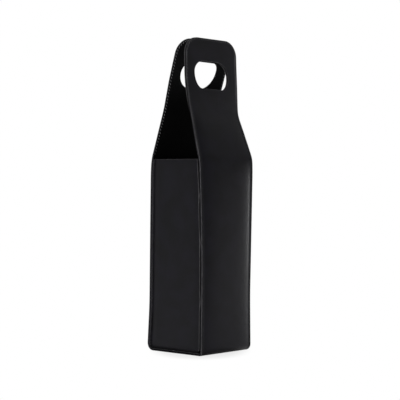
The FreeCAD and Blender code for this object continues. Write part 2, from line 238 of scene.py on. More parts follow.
def threadFinish(look, kind):
    # plies of twisted thread: sin(turns along the stitch + angle round it)
    paint = Finish(bpy.data.materials.new(kind + " thread"))
    place = paint.attribute("flat", "Vector")
    lengthwise = paint.part(place, 0)
    aroundIt = paint.part(place, 1)
    flapHighlight = paint.part(place, 2)
    ply = 0.5 + 0.5 * (lengthwise * (math.pi * look["plies"]) + aroundIt).sine()
    colour = paint.mix(ply, look[kind]["dark"], look[kind]["light"])
    # painted highlight: the thread paler on the flaps
    colour = paint.mix(flapHighlight * ply, colour, look["wearAndPaintedLight"])
    return paint.surface(look, colour, look["rough"], ply * look["twist"])


leather = leatherFinish(leatherLook)
lining = liningFinish(liningLook)
needleThread = threadFinish(threadLook, "needle")
bobbinThread = threadFinish(threadLook, "bobbin")
print("finishes made")


# Mesh tools

def gridQuads(index):
    # four corners of each cell of a grid of vertex numbers, rows upwards and columns to the right
    return np.stack([index[:-1, :-1], index[:-1, 1:], index[1:, 1:], index[1:, :-1]], -1).reshape(-1, 4)


def unit(vectors):
    # each vector divided by its length
    return vectors / np.maximum(np.linalg.norm(vectors, axis=-1, keepdims=True), 1e-9)


def vertexNormals(points, quads):
    # each face's normal, the cross product of its diagonals, added up at its corners
    corners = points[quads]
    faceNormals = np.cross(corners[:, 2] - corners[:, 0], corners[:, 3] - corners[:, 1])
    total = np.zeros_like(points)
    np.add.at(total, quads.reshape(-1), np.repeat(faceNormals, 4, axis=0))
    return unit(total)


def eased(value, low, high):
    # 0 below low, 1 above high, smooth in between
    step = np.clip((value - low) / (high - low), 0, 1)
    return step * step * (3 - 2 * step)


def runLength(points):
    # length along a line of points, from its start to each of them
    return np.hstack([[0], np.cumsum(np.linalg.norm(np.diff(points, axis=0), axis=1))])


def resample(points, shares):
    # points at the given shares of the length of a dense line
    run = runLength(points)
    return np.stack([np.interp(shares * run[-1], run, column) for column in points.T], -1)


cutEdge = {
    "rows": 7,  # rows of points round a cut, between the two faces
    "arrisRun": 0.25,  # wear and painted highlight fade this far in from the arris, in millimetres
    "innerPly": (0.65, 0.85),  # share of the way inwards at which a cut in painted shade turns to its inner ply with a painted highlight
}


def shell(sheet, top, bottom, rim, wearPower=2.0, paintedHighlightPly=0.0):
    # Closes a sheet into a thin solid: its faces moved along the normals to top and bottom, and each
    # border joined by half a squarish ellipse (root of cosine, root of sine), rim deep and as high as
    # the solid is thick. Wear and painted highlight of a paled cut fall as (1 - share of the way inwards)
    # ^ wearPower. A cut in painted shade is -1, and on its inner ply that rises by twice
    # paintedHighlightPly.
    points, quads, flat, edge = sheet["points"], sheet["quads"], sheet["flat"], sheet["edge"]
    count = len(points)
    normals = vertexNormals(points, quads)
    top = np.broadcast_to(top, count)
    bottom = np.broadcast_to(bottom, count)
    drawn = points.copy()
    angle = np.linspace(math.pi / 2, -math.pi / 2, cutEdge["rows"] + 2)[1:-1, None, None]
    rims = []
    for loop, rounding in zip(sheet["loops"], sheet["rounding"]):
        along = np.roll(points[loop], -1, 0) - np.roll(points[loop], 1, 0)
        outwards = unit(np.cross(along, normals[loop]))
        depth = (rim * rounding)[:, None]
        drawn[loop] = points[loop] - outwards * depth
        middle = ((top + bottom) / 2)[loop][None, :, None]
        halfThick = ((top - bottom) / 2)[loop][None, :, None]
        rise = halfThick * np.sign(np.sin(angle)) * np.sqrt(np.abs(np.sin(angle)))
        rounded = outwards * depth * np.sqrt(np.cos(angle))
        rims.append(drawn[loop] + rounded + normals[loop] * (middle + rise))
    upper = drawn + normals * top[:, None]
    lower = drawn + normals * bottom[:, None]
    parts = [upper, lower] + [rows.reshape(-1, 3) for rows in rims]
    faces = [quads, quads[:, ::-1] + count]
    flats = [flat, flat]
    edges = [edge, edge]
    start = 2 * count
    for loop, rows in zip(sheet["loops"], rims):
        number = start + np.arange(rows.shape[0] * rows.shape[1]).reshape(rows.shape[:2])
        ladder = np.vstack([loop + count, number[::-1], loop])
        ladder = np.hstack([ladder, ladder[:, :1]])
        faces.append(gridQuads(ladder))
        start += number.size
        down = runLength(np.vstack([upper[loop[0]], rows[:, 0]]))[1:]
        flats.append((flat[loop] + down[:, None, None] * [0, 0, 1]).reshape(-1, 3))
        inwards = np.linspace(0, 1, len(rows))[:, None]
        wornAndPaintedLight = (1 - inwards) ** wearPower
        # painted shade on the cut, with a painted highlight on its inner ply
        footShade = 2 * paintedHighlightPly * eased(inwards, *cutEdge["innerPly"]) - 1
        wearAndPaintedLight = sheet["wearAndPaintedLight"][loop]
        edges.append((wornAndPaintedLight * np.maximum(wearAndPaintedLight, 0) + footShade * np.maximum(-wearAndPaintedLight, 0)).ravel())
    return {"points": np.vstack(parts), "faces": np.vstack(faces).tolist(), "flat": np.vstack(flats),
            "edge": np.hstack(edges)}


def addObject(name, data):
    # a new object at the origin, in the scene
    made = bpy.data.objects.new(name, data)
    bpy.context.scene.collection.objects.link(made)
    return made


def newPiece(name, solid, material):
    # puts a solid worked out in millimetres into a mesh at the origin, smooth-shaded
    mesh = bpy.data.meshes.new(name)
    mesh.from_pydata((solid["points"] * mm).tolist(), [], solid["faces"])
    flat = mesh.attributes.new("flat", "FLOAT_VECTOR", "POINT")
    flat.data.foreach_set("vector", solid["flat"].astype(np.float32).ravel())
    edge = mesh.attributes.new("edge", "FLOAT", "POINT")
    edge.data.foreach_set("value", solid["edge"].astype(np.float32))
    mesh.polygons.foreach_set("use_smooth", np.ones(len(mesh.polygons), bool))
    mesh.materials.append(material)
    mesh.update()
    piece = addObject(name, mesh)
    return piece


# The strip: front panel, base and rear panel in one width, with a flap above each shoulder fold

# Way along it: base 0 to 1, bottom bend 1 to 2, panel 2 to 3, flap 3 to 4. A pair of ways says where a
# change starts and where it is complete.
strip = {
    "wall": 2.4, "base": 3.6, "baseEnd": (0.7, 1.6),  # laminate in the panels, and under the bottle
    "leatherShare": 0.88, "flapLeatherShare": 0.55,  # of the thickness; the lining has the rest
    "flapStart": (3.02, 3.3),  # from the panels' laminate to the flaps'
    "flap": 152.0, "tabRadius": 20.5,  # flap from its fold to its top edge, and its top corners
    "bulge": 1.5, "bulgePower": 2.6, "bulgeEnd": (2.9, 3.1),  # the middle of a panel stands out by this
    "border": 5.2, "shoulder": 8.0, "roll": 1.7,  # flat sewn border, and the fading rise inside it
    "fullStart": (1.3, 2.3), "slackStart": (3.2, 3.5),  # fullness comes at the foot and goes up the flap
    "flapShare": 0.2,  # what is left of it at the top of the flaps
    "foldFlat": 16.0, "pinch": (0.2, 0.8),  # fullness lost this near a fold, at the left and right edges
    "flare": 0.25,  # the sewn border turns out again towards its cut edge
    "stitchInset": 1.6, "groove": 0.08, "grooveWidth": 0.8,  # stitch line pressed into the leather
    "leatherRim": 0.45, "liningRim": 0.30,
    "footShadeEnd": (1.3, 1.9), "paintedHighlightPly": 0.9,  # painted shade on the cuts round the foot, and a painted highlight on their inner ply
    "handledAndLitFrom": (3.35, 3.6), "sideHighlight": (4.4, 3.0),  # where the flap is handled, and painted highlight from there on; painted highlight along the right edge, so far in from it
    "liningInset": 0.10, "seamInset": 1.0,  # lining behind the cut edge, on the flaps and down the seams
    "seamEnd": (3.0, 3.12),
    "partedRun": 1.8,  # how deep a flap's plies part where it is handled
}

gripHole = {
    "halfWidth": 29.5, "height": 34.5, "drop": 28.5,  # D-shaped cut-out, below the flap's top edge
    "steps": 720,  # round its cut
}

# How each edge of the strip runs, facing that panel from outside: how far out its foot stands, the radius
# of its bottom bend, its length above the fold, and pairs of (millimetres above the fold, degrees it
# leans inwards) between which it bends evenly. Grip corners are half-widths and half-heights of their
# arcs, from the bottom right one round to the left. At a flap's cuts the lining stands parted from the
# leather, which is skived thinner there. The rear half is turned to face the other way.
halves = {
    "front": {
        "joint": "front_flap_fold", "flap": "front_flap", "turn": 1.0,
        # paler lining cuts on the flap: painted highlight
        "flapWall": 2.8, "parted": 0.8, "skived": 0.75, "liningCutHighlight": 0.8, "gripMove": (-1.1, 0.0),
        "gripCorners": [(11, 15), (20, 18), (16, 14), (12, 20)],
        "left": {"base": 46.7, "corner": 3.2, "flap": 150.4, "leans": [
            (-236, -0.7), (-150, -0.7), (-110, 1.2), (-30, 2.0), (-8, 4.0), (4, 15.0), (20, 15.5),
            (36, 13.0), (62, 14.5), (76, 10.5), (94, 8.0), (112, 0.5), (152, 0.5)]},
        "right": {"base": 44.0, "corner": 8.0, "flap": 150.2, "leans": [
            (-236, 0.8), (-185, 0.6), (-160, -1.6), (-24, -1.5), (-8, 1.0), (4, 24.2), (52, 24.6),
            (66, 3.0), (80, 1.8), (110, 3.2), (152, 0.0)]},
    },
    "rear": {
        "joint": "rear_flap_fold", "flap": "rear_flap", "turn": -1.0,
        "flapWall": 2.0, "parted": 0.2, "skived": 0.0, "liningCutHighlight": 0.0, "gripMove": (0.0, 1.5),
        "gripCorners": [(19, 18), (19, 16), (8, 9), (23, 24)],
        "left": {"base": 45.4, "corner": 7.5, "flap": 152.6, "leans": [
            (-236, 0.8), (-20, 0.8), (-6, 2.5), (6, 22.0), (60, 20.5), (100, 19.5), (152, 18.5)]},
        "right": {"base": 48.5, "corner": 9.0, "flap": 155.2, "leans": [
            (-236, 4.0), (-195, 4.0), (-170, 0.8), (-24, 1.0), (-8, 5.0), (5, 20.6), (56, 19.2),
            (68, 14.6), (90, 14.6), (104, 17.4), (136, 18.4), (152, 20.0)]},
    },
}

edgeSteps = 1600  # short steps along one edge of the strip


def edgePath(edge):
    # Adds up short steps along one edge, from the middle of the base (0) by the bottom bend (1 to 2) and
    # the fold (3) to the top of the flap (4). The heading turns evenly between the given leans.
    heights, leans = np.array(edge["leans"]).T
    corner = edge["corner"]
    way = np.linspace(0, 4, edgeSteps + 1)
    stage = np.minimum(way.astype(int), 3)
    above = np.where(stage < 3, (way - 3) * (foldHeight - corner), (way - 3) * strip["flap"])
    upright = np.radians(90 + np.interp(above, heights, leans))
    bend = np.radians(90 + leans[0])
    heading = np.choose(stage, [0 * way, (way - 1) * bend, upright, upright])
    climb = np.sin(upright[(way >= 2) & (way <= 3)]).mean()
    rise = (foldHeight - corner * (1 - math.cos(bend))) / climb
    length = np.choose(stage, [edge["base"] - corner, corner * bend, rise, edge["flap"]])
    middle = (heading[1:] + heading[:-1]) / 2
    middle = np.where(np.diff(stage) > 0, heading[:-1], middle)
    step = np.diff(way) * length[:-1]
    out = np.hstack([[0], np.cumsum(np.cos(middle) * step)])
    up = np.hstack([[0], np.cumsum(np.sin(middle) * step)])
    return {"way": way, "out": out, "up": up, "heading": heading,
            "run": runLength(np.column_stack([out, up]))}


def edgeDistance(across, way):
    # distance in the flat strip to its long edges, and to the flap's top edge round its corners
    radius = strip["tabRadius"]
    sideways = np.abs(across) - (halfWidth - radius)
    upwards = (way - 3) * strip["flap"] - (strip["flap"] - radius)
    outside = np.hypot(np.maximum(sideways, 0), np.maximum(upwards, 0))
    return radius - outside - np.minimum(np.maximum(sideways, upwards), 0)


def mixedEdges(half, key, way, mixed):
    # what the left and right edge paths have at a way, mixed straight: 0 is the left edge, 1 the right one
    paths = [half[name]["path"] for name in ("left", "right")]
    left, right = [np.interp(way, path["way"], path[key]) for path in paths]
    return (1 - mixed) * left + mixed * right


def stripPoints(half, across, way):
    # Outer face: the left and right edge paths mixed across the width, pushed out along their normal by
    # a low crown and a shoulder inside the flat sewn border, less the pressed stitch line.
    mixed = across / (2 * halfWidth) + 0.5
    out, up, heading = [mixedEdges(half, key, way, mixed) for key in ("out", "up", "heading")]
    inset = np.clip(edgeDistance(across, way), 0, None)
    crown = strip["bulge"] * (1 - np.clip(1 - inset / halfWidth, 0, 1) ** strip["bulgePower"])
    crown = crown * (1 - eased(way, *strip["bulgeEnd"]))
    border = strip["roll"] * (1 - np.exp(-np.clip(inset - strip["border"], 0, None) / strip["shoulder"]))
    lip = strip["flare"] * np.clip(1 - inset / strip["border"], 0, 1) ** 2
    pressed = strip["groove"] * np.exp(-((inset - strip["stitchInset"]) / strip["grooveWidth"]) ** 2)
    slack = (1 - strip["flapShare"]) * eased(way, *strip["slackStart"])
    aboveFold = (way - 3) * np.where(way < 3, foldHeight, strip["flap"])
    pinch = np.interp(mixed, [0, 1], strip["pinch"]) * np.exp(-(aboveFold / strip["foldFlat"]) ** 2)
    fullness = eased(way, *strip["fullStart"]) * (1 - slack) * (1 - pinch)
    proud = (crown + border + lip) * fullness - pressed
    out = out + np.sin(heading) * proud
    up = up - np.cos(heading) * proud
    turn = half["turn"]
    return np.stack([turn * across, -turn * out, up], -1)


def gripOutline(half):
    # The D of a grip round its own middle: four corner arcs, each a quarter of an ellipse, joined by
    # straight runs and read at equal steps.
    signs = [(1, -1), (1, 1), (-1, 1), (-1, -1)]
    arcs = []
    for quarter, ((sideways, level), (wide, high)) in enumerate(zip(signs, half["gripCorners"])):
        sweep = math.pi / 2 * (quarter - 1 + np.linspace(0, 1, 60))
        arcs.append(np.stack([
            sideways * (gripHole["halfWidth"] - wide) + wide * np.cos(sweep),
            level * (gripHole["height"] / 2 - high) + high * np.sin(sweep)], -1))
    return resample(np.vstack([*arcs, arcs[0][:1]]), np.linspace(0, 1, gripHole["steps"] + 1))[:-1]


# Rows and columns of the flat pattern, in millimetres, and how many cells lie between them
pattern = {
    "nearEdge": [0, 0.3, 0.8, 1.3, 1.8, 2.4, 3.2, 4.2, 5.1, 5.4, 6.0, 7.0, 8.6, 11.0],  # in from an edge
    "nearMiddle": [15, 20, 26, 32, 38],  # and on to the middle of the strip
    "nearGrip": [13.5, 15.5],  # or, as shares of the last, on to the grip's cut
    "closeFrom": 2.96, "closeTo": 9.0,  # closer rows at the fold, from this way to so far above it
    "ringFoot": 72.0,  # above the fold; the ring round the grip starts there
    "rows": [6, 8, 40, 4, 6, 23],  # on the base, bend and panel, below and above the fold, and to the ring
    "flapCells": (19, 14, 23),  # up each side of the ring, round each top corner and along the top
}


def flapOutline(columns, inset):
    # Flap above the ring's foot, counter-clockwise from that foot's left end: its columns, the right side,
    # a quarter circle, the top edge, a quarter circle and the left side.
    wide = halfWidth - inset
    radius = strip["tabRadius"] - inset
    topLine = strip["flap"] - inset
    foot = pattern["ringFoot"]
    sideCells, cornerCells, topCells = pattern["flapCells"]
    side = np.linspace(foot, topLine - radius, sideCells + 1)[1:]
    arc = np.linspace(0, math.pi / 2, cornerCells + 1)[1:]
    topRun = np.linspace(wide - radius, -(wide - radius), topCells + 1)[1:]
    across = np.hstack([
        columns, np.full(len(side), wide), wide - radius + radius * np.cos(arc), topRun,
        -(wide - radius) - radius * np.sin(arc), np.full(len(side) - 1, -wide)])
    up = np.hstack([
        np.full(len(columns), foot), side, topLine - radius + radius * np.sin(arc),
        np.full(len(topRun), topLine), topLine - radius + radius * np.cos(arc), side[::-1][1:]])
    return across, up


def gripCut(half, inset, across, up):
    # where the straight line from each point of the flap's outline to the middle of the grip meets its cut
    outline = gripOutline(half)
    sideways, lift = half["gripMove"]
    middle = strip["flap"] - gripHole["drop"] - gripHole["height"] / 2 + lift
    bearing = np.arctan2(outline[:, 1], outline[:, 0])
    order = np.argsort(bearing)
    reach = np.hypot(*outline.T) + inset
    wanted = np.arctan2(up - middle, across - sideways)
    distance = np.interp(wanted, bearing[order], reach[order], period=2 * math.pi)
    return sideways + distance * np.cos(wanted), middle + distance * np.sin(wanted)


def plyDepths(half, way, fromCut):
    # Depths below the outer face: the wall is thicker under the base and differs on the flap. Leather and
    # lining give way at the flap's cuts by a bell, exp(-(distance / run)^2).
    onFlap = eased(way, *strip["flapStart"])
    thickness = (strip["wall"] + (strip["base"] - strip["wall"]) * (1 - eased(way, *strip["baseEnd"]))
                 + (half["flapWall"] - strip["wall"]) * onFlap)
    leatherShare = strip["leatherShare"] + (strip["flapLeatherShare"] - strip["leatherShare"]) * onFlap
    leatherDepth = thickness * leatherShare
    nearCut = eased(way, *strip["handledAndLitFrom"]) * np.exp(-(fromCut / strip["partedRun"]) ** 2)
    return {"leatherBack": leatherDepth - half["skived"] * nearCut,
            "liningFront": leatherDepth + half["parted"] * nearCut,
            "liningBack": thickness + half["parted"] * nearCut}


def stripSheet(half, inset, seamInset):
    # Flat pattern: a grid from the base to below the grip, then a ring of cells from the flap's outline in
    # to the grip hole, both laid on the strip's surface. It ends inset behind the strip's edges on the
    # flap and seamInset behind them below the fold.
    wide = halfWidth - inset
    steps = np.array(pattern["nearEdge"] + pattern["nearMiddle"])
    columns = np.hstack([steps, [halfWidth], 2 * halfWidth - steps[::-1]]) - halfWidth
    columns = columns * (wide / halfWidth)
    aboveFold = np.array([0, pattern["closeTo"], pattern["ringFoot"]]) / strip["flap"]
    stops = [0, 1, 2, pattern["closeFrom"], *(3 + aboveFold)]
    runs = zip(stops, stops[1:], pattern["rows"])
    rows = np.hstack([np.linspace(low, high, count, endpoint=False) for low, high, count in runs])
    gridAcross, gridWay = np.meshgrid(columns, np.append(rows, stops[-1]))
    gridAcross *= 1 - (seamInset - inset) / wide * (1 - eased(gridWay, *strip["seamEnd"]))
    outlineAcross, outlineUp = flapOutline(columns, inset)
    holeAcross, holeUp = gripCut(half, inset, outlineAcross, outlineUp)
    steps = np.array(pattern["nearEdge"] + pattern["nearGrip"])
    share = steps[:, None] / steps[-1]
    ringAcross = outlineAcross * (1 - share) + holeAcross * share
    ringUp = outlineUp * (1 - share) + holeUp * share
    # number the vertices: the ring's first row shares the grid's last one
    gridIndex = np.arange(gridAcross.size).reshape(gridAcross.shape)
    wideCount = len(columns)
    ringIndex = np.empty(ringAcross.shape, int)
    fresh = np.ones(ringAcross.shape, bool)
    fresh[0, :wideCount] = False
    ringIndex[0, :wideCount] = gridIndex[-1]
    ringIndex[fresh] = gridAcross.size + np.arange(fresh.sum())
    closed = np.hstack([ringIndex, ringIndex[:, :1]])
    leftUp, rightUp = gridIndex[1:, 0], gridIndex[1:, -1]
    border = np.hstack([gridIndex[0], rightUp, ringIndex[0, wideCount:], leftUp[::-1]])
    hole = ringIndex[-1, ::-1]
    # what the vertices carry
    across = np.hstack([gridAcross.ravel(), ringAcross[fresh]])
    way = np.hstack([gridWay.ravel(), 3 + ringUp[fresh] / strip["flap"]])
    toHole = (1 - share) * np.hypot(outlineAcross - holeAcross, outlineUp - holeUp)
    fromHole = np.hstack([np.full(gridAcross.size, pattern["ringFoot"]), toHole[fresh]]) + inset
    fromEdge = edgeDistance(across, way)
    offBase = (way[border] > 0).astype(float)
    return {"points": stripPoints(half, across, way),
            "quads": np.vstack([gridQuads(gridIndex), gridQuads(closed)]),
            "flat": np.stack([across, mixedEdges(half, "run", way, 0.5), 0 * way], -1), "way": way,
            "loops": [border, hole], "rounding": [offBase, np.ones(len(hole))],
            "edge": np.exp(-fromEdge / cutEdge["arrisRun"]),
            "wearAndPaintedLight": 2 * eased(way, *strip["footShadeEnd"]) - 1,
            **plyDepths(half, way, np.minimum(fromEdge, fromHole) - inset)}


def makeStrip(side, half):
    # leather and lining of one half, with a painted highlight along the right side of its flap and on the
    # lining's cuts
    outer = stripSheet(half, 0.0, 0.0)
    inner = stripSheet(half, strip["liningInset"], strip["seamInset"])
    # painted highlight along the right side of the flap, and on the front flap's lining cuts
    nearSide = eased(halfWidth - outer["flat"][:, 0], *strip["sideHighlight"])
    outer["edge"] = np.maximum(outer["edge"], nearSide * eased(outer["way"], *strip["handledAndLitFrom"]))
    inner["wearAndPaintedLight"] = half["liningCutHighlight"] * eased(inner["way"], *strip["handledAndLitFrom"])
    solid = shell(outer, 0.0, -outer["leatherBack"], strip["leatherRim"], paintedHighlightPly=strip["paintedHighlightPly"])
    skin = newPiece(side + "_panel_leather", solid, leather)
    solid = shell(inner, -inner["liningFront"], -inner["liningBack"], strip["liningRim"], wearPower=0.0)
    backing = newPiece(side + "_panel_lining", solid, lining)
    return skin, backing


for half in halves.values():
    for edgeName in ("left", "right"):
        half[edgeName]["path"] = edgePath(half[edgeName])


def bendAtFold(piece):
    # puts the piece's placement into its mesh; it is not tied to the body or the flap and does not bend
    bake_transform(piece)


skins = {}
backings = {}
for side, half in halves.items():
    skins[side], backings[side] = makeStrip(side, half)
    bendAtFold(skins[side])
    bendAtFold(backings[side])
    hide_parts("outer_wrap", "base_board", side + "_board", side + "_flap_skin",
                side + "_flap_board")
    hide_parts("lining_wrap", side + "_flap_lining")
print("strip made,", sum(len(piece.data.polygons) for piece in skins.values()), "faces in its leather")


# The gussets: shallow trays whose edges turn out and are sewn to the strip, edge to edge

gusset = {
    "skin": 1.6, "board": 0.8, "lining": 0.25,
    "sunk": 1.8, "foldRadius": 0.5,  # fold line behind the turned-out edges, and the bend there
    "corner": 4.0,  # bottom corners of the tray
    "crown": 0.4, "crownRun": 10.0,  # the plate swells this far out, over this distance from its folds
    "splay": {"front": 0.6, "foot": 0.32, "rear": 0.3},  # the sewn edges part by this at their cut
    "touches": (66.0, 139.0, 196.0), "touchRun": 7.0,  # heights where they touch, and for how far
    "wearAndPaintedLight": {"front": 0.85, "foot": -1.0, "rear": 0.25},  # wear and painted highlight of the cut edges, and below 0 painted shade
    "arris": 0.3,  # least wear and painted highlight along their corner
    "tight": 0.35,  # the seam's root is pulled into the lining
    "topDrop": 1.6, "topRun": 12.0,  # the turned edges are cut lower at the top, over this distance
    "rim": 0.4, "liningRim": 0.25,
    "cells": (60, 30),  # up and across the plate
}


def seamSplay(height, widest):
    # open all along, but for a dip of bell form, 1 - exp(-(distance / run)^2), where the two edges touch
    distance = np.min([np.abs(height - touch) for touch in gusset["touches"]], axis=0)
    return widest * (1 - np.exp(-(distance / gusset["touchRun"]) ** 2))


def gussetOutline(sideSign):
    # Line of the turned edge's visible face at its root, in (depth, height): down beside the front panel,
    # round the bottom and up beside the rear panel, a seam's thickness inside the strip's edges.
    layers = gusset["skin"] + gusset["lining"] - gusset["tight"]
    inside = strip["wall"] + layers
    floor = strip["base"] + layers
    frontEdge = halves["front"]["left" if sideSign < 0 else "right"]["path"]
    rearEdge = halves["rear"]["right" if sideSign < 0 else "left"]["path"]
    radius = gusset["corner"]
    heights = np.linspace(gussetTop, floor + radius, 120)

    def edgeAt(path):
        panel = path["way"] >= 1.5  # from the middle of the bottom bend upwards
        return np.interp(heights, path["up"][panel], path["out"][panel]) - inside

    front = np.stack([-edgeAt(frontEdge), heights], -1)
    rear = np.stack([edgeAt(rearEdge), heights], -1)[::-1]
    sweep = np.linspace(0, math.pi / 2, 30)
    frontCorner = front[-1] + radius * np.stack([1 - np.cos(sweep), -np.sin(sweep)], -1)
    rearCorner = (rear[0] + radius * np.stack([np.cos(sweep) - 1, -np.sin(sweep)], -1))[::-1]
    half = len(sweep) // 2
    return [np.vstack([front, frontCorner[1:half]]),
            np.vstack([frontCorner[half - 1:], rearCorner[:-half + 1]]),
            np.vstack([rearCorner[-half:-1], rear])]


def filledPlate(leftSide, rightSide, foot, across, climb):
    # Fills in three borders and a straight head: opposite borders mixed across and upwards, both added,
    # less the four corners mixed both ways.
    over = across[None, :, None]
    up = climb[:, None, None]
    head = leftSide[-1] * (1 - over[0]) + rightSide[-1] * over[0]
    sides = (1 - over) * leftSide[:, None] + over * rightSide[:, None]
    ends = (1 - up) * foot[None] + up * head[None]
    lowCorners = (1 - up) * ((1 - over) * foot[0] + over * foot[-1])
    highCorners = up * ((1 - over) * leftSide[-1] + over * rightSide[-1])
    return sides + ends - lowCorners - highCorners


def gussetSheet(sideSign):
    # Band: a turned-edge profile carried along the outline. Plate: the band's inner border filled in, and
    # swelling out a little from its three folds.
    upCount, acrossCount = gusset["cells"]
    front, bottom, rear = gussetOutline(sideSign)
    climb = np.linspace(0, 1, upCount + 1) ** 2  # closer together at the bottom corners
    across = 0.5 - 0.5 * np.cos(np.linspace(0, math.pi, acrossCount + 1))
    line = np.vstack([
        resample(front, 1 - climb[::-1]), resample(bottom, across)[1:], resample(rear, climb)[1:]])
    heading = unit(np.gradient(line, axis=0))
    inwards = np.stack([-heading[:, 1], heading[:, 0]], -1)
    # profile: straight in from the cut edge to the crease, then a quarter circle
    bend = gusset["foldRadius"]
    depth = halfWidth - gusset["sunk"]
    straight = np.linspace(halfWidth, depth + bend, 5)[:-1]
    crease = len(straight) - 1
    sweep = np.linspace(0, math.pi / 2, 6)
    shift = np.hstack([0 * straight, bend * (1 - np.cos(sweep))])  # inwards from the turned edge
    reach = np.hstack([straight, depth + bend * (1 - np.sin(sweep))])  # sideways from the middle
    counts = [upCount, acrossCount + 1, upCount]
    widest, wornAndPaintedLight = [np.repeat([gusset[key][part] for part in ("front", "foot", "rear")], counts)
                    for key in ("splay", "wearAndPaintedLight")]
    splay = seamSplay(line[:, 1], widest)
    opened = splay[:, None] * np.clip((reach - depth - bend) / (halfWidth - depth - bend), 0, 1)
    band = line[:, None, :] + inwards[:, None, :] * (shift + opened)[:, :, None]
    outwardness = np.clip((reach - depth) / (halfWidth - depth), 0, 1)
    topness = eased(band[:, :, 1], gussetTop - gusset["topRun"], gussetTop)
    band[:, :, 1] -= gusset["topDrop"] * outwardness[None, :] ** 2 * topness
    rim = band[:, -1]
    leftSide = rim[:upCount + 1][::-1]
    foot = rim[upCount:upCount + acrossCount + 1]
    rightSide = rim[upCount + acrossCount:]
    plate = filledPlate(leftSide, rightSide, foot, across, climb)
    fromSides = np.minimum(plate[..., 0] - plate[:, :1, 0], plate[:, -1:, 0] - plate[..., 0])
    fromFoot = plate[..., 1] - plate[:1, :, 1]
    run = gusset["crownRun"]
    swell = gusset["crown"] * eased(fromSides, 0, run) * eased(fromFoot, 0, run)
    # number the vertices: the band's last column is the plate's border
    plateCount = plate.shape[0] * plate.shape[1]
    plateIndex = np.arange(plateCount).reshape(plate.shape[:2])
    borderIndex = np.hstack([plateIndex[::-1, 0], plateIndex[0, 1:], plateIndex[1:, -1]])
    outer = band[:, :-1]
    bandIndex = plateCount + np.arange(outer.shape[0] * outer.shape[1]).reshape(outer.shape[:2])
    bandIndex = np.hstack([bandIndex, borderIndex[:, None]])
    quads = np.vstack([gridQuads(plateIndex), gridQuads(bandIndex)[:, ::-1]])
    frontTop, rearTop = bandIndex[0, 1:-1], bandIndex[-1, 1:-1]
    loop = np.hstack([bandIndex[:, 0], rearTop, plateIndex[-1, ::-1], frontTop[::-1]])
    if sideSign < 0:
        quads = quads[:, ::-1]
        loop = loop[::-1]
    # what the vertices carry
    bandReach = np.broadcast_to(reach[:-1], outer.shape[:2]).ravel()
    sideways = np.hstack([(depth + swell).ravel(), bandReach])
    depthAndHeight = np.vstack([plate.reshape(-1, 2), outer.reshape(-1, 2)])
    fromEdge = np.hstack([np.full(plateCount, np.inf), halfWidth - bandReach])
    wearAndPaintedLight = np.hstack([np.ones(plateCount), np.repeat(wornAndPaintedLight, outer.shape[1])])
    return {"points": np.column_stack([sideSign * sideways, depthAndHeight]), "quads": quads,
            "flat": np.column_stack([depthAndHeight, sideways]),
            "loops": [loop], "rounding": [np.ones(len(loop))],
            "edge": np.maximum(wearAndPaintedLight, gusset["arris"]) * np.exp(-fromEdge / cutEdge["arrisRun"]),
            "wearAndPaintedLight": wearAndPaintedLight, "plate": np.hstack([np.ones(plateCount), np.zeros(len(bandReach))]),
            "crease": np.column_stack([np.full(len(band), sideSign * reach[crease]), band[:, crease]])}


gussetSheets = {}
for side, sideSign in (("left", -1.0), ("right", 1.0)):
    sheet = gussetSheet(sideSign)
    gussetSheets[side] = sheet
    solid = shell(sheet, 0.0, -gusset["skin"], gusset["rim"], wearPower=0.0)
    skin = newPiece(side + "_gusset_leather", solid, leather)
    under = gusset["skin"] + gusset["board"] * sheet["plate"]
    solid = shell(sheet, -under, -under - gusset["lining"], gusset["liningRim"])
    backing = newPiece(side + "_gusset_inside", solid, lining)
    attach(skin, "carrier_body")
    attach(backing, "carrier_body")
    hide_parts(side + "_gusset", side + "_gusset_board")
    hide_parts(side + "_gusset_lining")
print("gussets made")


# Stitches: each one a slanted grain of thread laid on the leather

stitch = {
    "pitch": 3.9, "halfLength": 1.5, "halfWidth": 0.5, "height": 0.45,
    "arch": (0.5, 0.75), "sunk": 0.12,  # middle and swing of its arch, in heights, and how deep it sinks
    "slant": 35.0,  # degrees across the seam, like the lay of a rope
    "firstWay": 0.02,  # outer rows start this far from the middle of the base
    "clear": 4.0,  # inner rows start this far above the fold
    "flapHighlight": 12.0,  # outer rows carry a painted highlight from this far above it
    "probe": (0.3, 0.002),  # steps across and along the way that give the surface's normals
    "dense": (900, 60),  # points up an edge and round a corner, before a row is spaced out
}


def stitchGrain():
    # Template: five rings of six points round a low arch, and a point at each end. Width and height
    # follow the root of 1 - along^4, so the ends dive into the leather.
    along = np.array([-0.92, -0.55, 0.0, 0.55, 0.92])
    angle = np.arange(6) * math.pi / 3
    rings, sides = len(along), len(angle)
    middle, swing = stitch["arch"]
    full = np.sqrt(1 - along ** 4)[:, None]
    ring = np.stack([
        np.broadcast_to(along[:, None] * stitch["halfLength"], (rings, sides)),
        full * stitch["halfWidth"] * np.cos(angle),
        full * stitch["height"] * (middle + swing * np.sin(angle)) - stitch["sunk"]], -1)
    tips = [[end * stitch["halfLength"], 0, -stitch["sunk"]] for end in (-1, 1)]
    points = np.vstack([ring.reshape(-1, 3), tips])
    index = np.arange(rings * sides).reshape(rings, sides)
    index = np.hstack([index, index[:, :1]])
    quads = gridQuads(index)[:, ::-1]
    first = np.stack([np.full(sides, rings * sides), index[0, 1:], index[0, :-1]], -1)
    last = np.stack([np.full(sides, rings * sides + 1), index[-1, :-1], index[-1, 1:]], -1)
    around = np.append(np.tile(angle, rings), [0, 0])
    place = np.column_stack([points[:, 0] / stitch["halfLength"], around, 0 * around])
    return points, quads, np.vstack([first, last]), place


